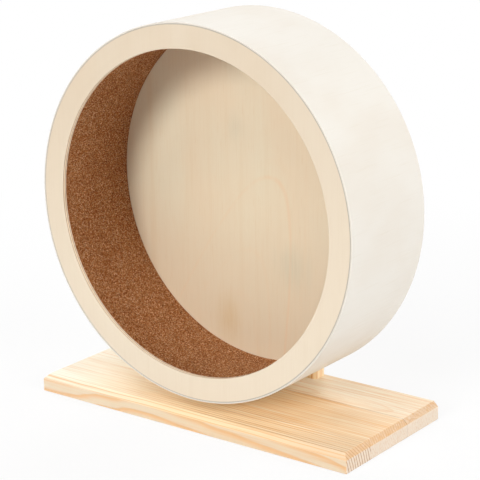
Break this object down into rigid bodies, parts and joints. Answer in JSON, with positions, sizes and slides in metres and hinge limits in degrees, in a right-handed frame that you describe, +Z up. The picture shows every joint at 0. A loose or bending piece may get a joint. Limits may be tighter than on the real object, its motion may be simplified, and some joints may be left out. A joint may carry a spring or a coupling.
{
  "type": "rodent exercise wheel",
  "caption": "Cork-lined wooden running drum with an open front and closed back, spinning on ball bearings in a pine upright on a flat base board.",
  "frame": {"origin": "middle of the base board's underside", "axes": "+X along the base board, -Y towards the open front of the drum, +Z up; the axle runs along Y"},
  "size_m": [0.284, 0.1364, 0.301],
  "materials": {
    "pine": "satin",
    "plywood": "matte",
    "hoop_veneer": "matte",
    "cork": "matte",
    "dowel_beech": "matte",
    "zinc_steel": "satin",
    "bearing_steel": "polished",
    "nylon": "satin"
  },
  "bodies": {
    "stand": {"base_board": "pine", "rear_upright": "pine", "upright_screws": "zinc_steel", "upright_dowels": "dowel_beech", "front_bearing_outer": "bearing_steel", "front_bearing_shields": "bearing_steel", "rear_bearing_outer": "bearing_steel", "rear_bearing_shields": "bearing_steel"},
    "wheel": {"drum_hoop": "hoop_veneer", "cork_liner": "cork", "front_ring": "plywood", "back_disc": "plywood", "hub_plate": "plywood", "axle_bolt": "zinc_steel", "hub_washer": "zinc_steel", "nut_washer": "zinc_steel", "lock_nut": "zinc_steel", "nut_insert": "nylon", "front_bearing_inner": "bearing_steel", "rear_bearing_inner": "bearing_steel"},
    "front_balls": {"front_ball_set": "bearing_steel", "front_ball_cage": "nylon"},
    "rear_balls": {"rear_ball_set": "bearing_steel", "rear_ball_cage": "nylon"}
  },
  "joints": [
    {"name": "wheel_spin", "type": "hinge", "parent": "stand", "child": "wheel", "pos_m": [0, 0, 0.161], "axis": [0, 1, 0], "continuous": true},
    {"name": "front_balls_roll", "type": "hinge", "parent": "stand", "child": "front_balls", "pos_m": [0, 0.05175, 0.161], "axis": [0, 1, 0], "continuous": true},
    {"name": "rear_balls_roll", "type": "hinge", "parent": "stand", "child": "rear_balls", "pos_m": [0, 0.05875, 0.161], "axis": [0, 1, 0], "continuous": true}
  ],
  "couplings": [
    {"joint": "front_balls_roll", "follows": "wheel_spin", "ratio": 0.3677},
    {"joint": "rear_balls_roll", "follows": "wheel_spin", "ratio": 0.3677}
  ]
}
